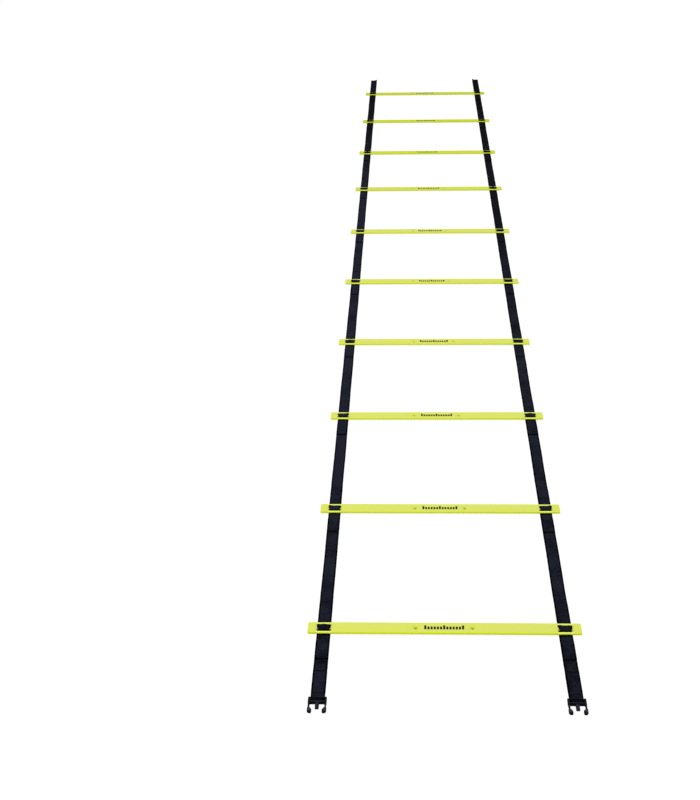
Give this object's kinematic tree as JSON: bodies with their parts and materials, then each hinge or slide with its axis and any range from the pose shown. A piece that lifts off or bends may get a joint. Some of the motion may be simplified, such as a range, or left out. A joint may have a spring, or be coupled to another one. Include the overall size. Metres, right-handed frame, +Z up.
{
  "type": "agility ladder",
  "caption": "Agility ladder laid flat: rigid yellow-green rungs held in two black webbing straps, with side-release plugs on the near ends. It folds up rung on rung.",
  "frame": {"origin": "on the ground, midway between the two ends of the ladder and between its straps", "axes": "+Z up, +Y along the ladder away from the plugs, +X across it to the right as seen from the plugs"},
  "size_m": [0.5, 4.5622, 0.0094],
  "materials": {
    "webbing": "matt black polypropylene webbing with a fine cross weave and firm edges",
    "rung_plastic": "satin fluorescent yellow-green plastic, slightly translucent, brighter at its edges",
    "plug_plastic": "satin black moulded plastic"
  },
  "bodies": {
    "section_01": {"strap_left_01": "webbing", "strap_right_01": "webbing", "keeper_left_01": "webbing", "keeper_right_01": "webbing", "plug_left": "plug_plastic", "plug_right": "plug_plastic"},
    "rung_body_01": {"rung_01": "rung_plastic"},
    "section_02": {"strap_left_02": "webbing", "strap_right_02": "webbing", "keeper_left_02": "webbing", "keeper_right_02": "webbing"},
    "rung_body_02": {"rung_02": "rung_plastic"},
    "section_03": {"strap_left_03": "webbing", "strap_right_03": "webbing", "keeper_left_03": "webbing", "keeper_right_03": "webbing"},
    "rung_body_03": {"rung_03": "rung_plastic"},
    "section_04": {"strap_left_04": "webbing", "strap_right_04": "webbing", "keeper_left_04": "webbing", "keeper_right_04": "webbing"},
    "rung_body_04": {"rung_04": "rung_plastic"},
    "section_05": {"strap_left_05": "webbing", "strap_right_05": "webbing", "keeper_left_05": "webbing", "keeper_right_05": "webbing"},
    "rung_body_05": {"rung_05": "rung_plastic"},
    "section_06": {"strap_left_06": "webbing", "strap_right_06": "webbing", "keeper_left_06": "webbing", "keeper_right_06": "webbing"},
    "rung_body_06": {"rung_06": "rung_plastic"},
    "section_07": {"strap_left_07": "webbing", "strap_right_07": "webbing", "keeper_left_07": "webbing", "keeper_right_07": "webbing"},
    "rung_body_07": {"rung_07": "rung_plastic"},
    "section_08": {"strap_left_08": "webbing", "strap_right_08": "webbing", "keeper_left_08": "webbing", "keeper_right_08": "webbing"},
    "rung_body_08": {"rung_08": "rung_plastic"},
    "section_09": {"strap_left_09": "webbing", "strap_right_09": "webbing", "keeper_left_09": "webbing", "keeper_right_09": "webbing"},
    "rung_body_09": {"rung_09": "rung_plastic"},
    "section_10": {"strap_left_10": "webbing", "strap_right_10": "webbing", "keeper_left_10": "webbing", "keeper_right_10": "webbing"},
    "rung_body_10": {"rung_10": "rung_plastic"},
    "plug_left_inner_arm_body": {"plug_left_inner_arm": "plug_plastic"},
    "plug_left_outer_arm_body": {"plug_left_outer_arm": "plug_plastic"},
    "plug_right_inner_arm_body": {"plug_right_inner_arm": "plug_plastic"},
    "plug_right_outer_arm_body": {"plug_right_outer_arm": "plug_plastic"}
  },
  "joints": [
    {"name": "fold_01", "type": "hinge", "parent": "section_01", "child": "section_02", "pos_m": [0, -1.80393, 0.01], "axis": [1, 0, 0], "range_deg": [0, 180]},
    {"name": "fold_02", "type": "hinge", "parent": "section_02", "child": "section_03", "pos_m": [0, -1.35393, -0.0005], "axis": [-1, 0, 0], "range_deg": [0, 180]},
    {"name": "fold_03", "type": "hinge", "parent": "section_03", "child": "section_04", "pos_m": [0, -0.90392, 0.01], "axis": [1, 0, 0], "range_deg": [0, 180]},
    {"name": "fold_04", "type": "hinge", "parent": "section_04", "child": "section_05", "pos_m": [0, -0.45393, -0.0005], "axis": [-1, 0, 0], "range_deg": [0, 180]},
    {"name": "fold_05", "type": "hinge", "parent": "section_05", "child": "section_06", "pos_m": [0, -0.00392, 0.01], "axis": [1, 0, 0], "range_deg": [0, 180]},
    {"name": "fold_06", "type": "hinge", "parent": "section_06", "child": "section_07", "pos_m": [0, 0.44607, -0.0005], "axis": [-1, 0, 0], "range_deg": [0, 180]},
    {"name": "fold_07", "type": "hinge", "parent": "section_07", "child": "section_08", "pos_m": [0, 0.89607, 0.01], "axis": [1, 0, 0], "range_deg": [0, 180]},
    {"name": "fold_08", "type": "hinge", "parent": "section_08", "child": "section_09", "pos_m": [0, 1.34607, -0.0005], "axis": [-1, 0, 0], "range_deg": [0, 180]},
    {"name": "fold_09", "type": "hinge", "parent": "section_09", "child": "section_10", "pos_m": [0, 1.79608, 0.01], "axis": [1, 0, 0], "range_deg": [0, 180]},
    {"name": "rung_slide_01", "type": "slide", "parent": "section_01", "child": "rung_body_01", "axis": [0, 1, 0], "range_m": [-0.055, 0.055], "deforming": ["keeper_left_01", "keeper_right_01"]},
    {"name": "rung_slide_02", "type": "slide", "parent": "section_02", "child": "rung_body_02", "axis": [0, 1, 0], "range_m": [-0.055, 0.055], "deforming": ["keeper_left_02", "keeper_right_02"]},
    {"name": "rung_slide_03", "type": "slide", "parent": "section_03", "child": "rung_body_03", "axis": [0, 1, 0], "range_m": [-0.055, 0.055], "deforming": ["keeper_left_03", "keeper_right_03"]},
    {"name": "rung_slide_04", "type": "slide", "parent": "section_04", "child": "rung_body_04", "axis": [0, 1, 0], "range_m": [-0.055, 0.055], "deforming": ["keeper_left_04", "keeper_right_04"]},
    {"name": "rung_slide_05", "type": "slide", "parent": "section_05", "child": "rung_body_05", "axis": [0, 1, 0], "range_m": [-0.055, 0.055], "deforming": ["keeper_left_05", "keeper_right_05"]},
    {"name": "rung_slide_06", "type": "slide", "parent": "section_06", "child": "rung_body_06", "axis": [0, 1, 0], "range_m": [-0.055, 0.055], "deforming": ["keeper_left_06", "keeper_right_06"]},
    {"name": "rung_slide_07", "type": "slide", "parent": "section_07", "child": "rung_body_07", "axis": [0, 1, 0], "range_m": [-0.055, 0.055], "deforming": ["keeper_left_07", "keeper_right_07"]},
    {"name": "rung_slide_08", "type": "slide", "parent": "section_08", "child": "rung_body_08", "axis": [0, 1, 0], "range_m": [-0.055, 0.055], "deforming": ["keeper_left_08", "keeper_right_08"]},
    {"name": "rung_slide_09", "type": "slide", "parent": "section_09", "child": "rung_body_09", "axis": [0, 1, 0], "range_m": [-0.055, 0.055], "deforming": ["keeper_left_09", "keeper_right_09"]},
    {"name": "rung_slide_10", "type": "slide", "parent": "section_10", "child": "rung_body_10", "axis": [0, 1, 0], "range_m": [-0.055, 0.055], "deforming": ["keeper_left_10", "keeper_right_10"]},
    {"name": "plug_left_inner_arm_flex", "type": "hinge", "parent": "section_01", "child": "plug_left_inner_arm_body", "pos_m": [-0.2063, -2.25588, 0.003], "axis": [0, 0, -1], "range_deg": [0, 8], "stiffness_Nm_per_rad": 1.1},
    {"name": "plug_left_outer_arm_flex", "type": "hinge", "parent": "section_01", "child": "plug_left_outer_arm_body", "pos_m": [-0.2347, -2.25588, 0.003], "axis": [0, 0, 1], "range_deg": [0, 8], "stiffness_Nm_per_rad": 1.1},
    {"name": "plug_right_inner_arm_flex", "type": "hinge", "parent": "section_01", "child": "plug_right_inner_arm_body", "pos_m": [0.2063, -2.25588, 0.003], "axis": [0, 0, 1], "range_deg": [0, 8], "stiffness_Nm_per_rad": 1.1},
    {"name": "plug_right_outer_arm_flex", "type": "hinge", "parent": "section_01", "child": "plug_right_outer_arm_body", "pos_m": [0.2347, -2.25588, 0.003], "axis": [0, 0, -1], "range_deg": [0, 8], "stiffness_Nm_per_rad": 1.1}
  ],
  "couplings": [
    {"joint": "fold_02", "follows": "fold_01", "ratio": 1},
    {"joint": "fold_03", "follows": "fold_01", "ratio": 1},
    {"joint": "fold_04", "follows": "fold_01", "ratio": 1},
    {"joint": "fold_05", "follows": "fold_01", "ratio": 1},
    {"joint": "fold_06", "follows": "fold_01", "ratio": 1},
    {"joint": "fold_07", "follows": "fold_01", "ratio": 1},
    {"joint": "fold_08", "follows": "fold_01", "ratio": 1},
    {"joint": "fold_09", "follows": "fold_01", "ratio": 1}
  ]
}
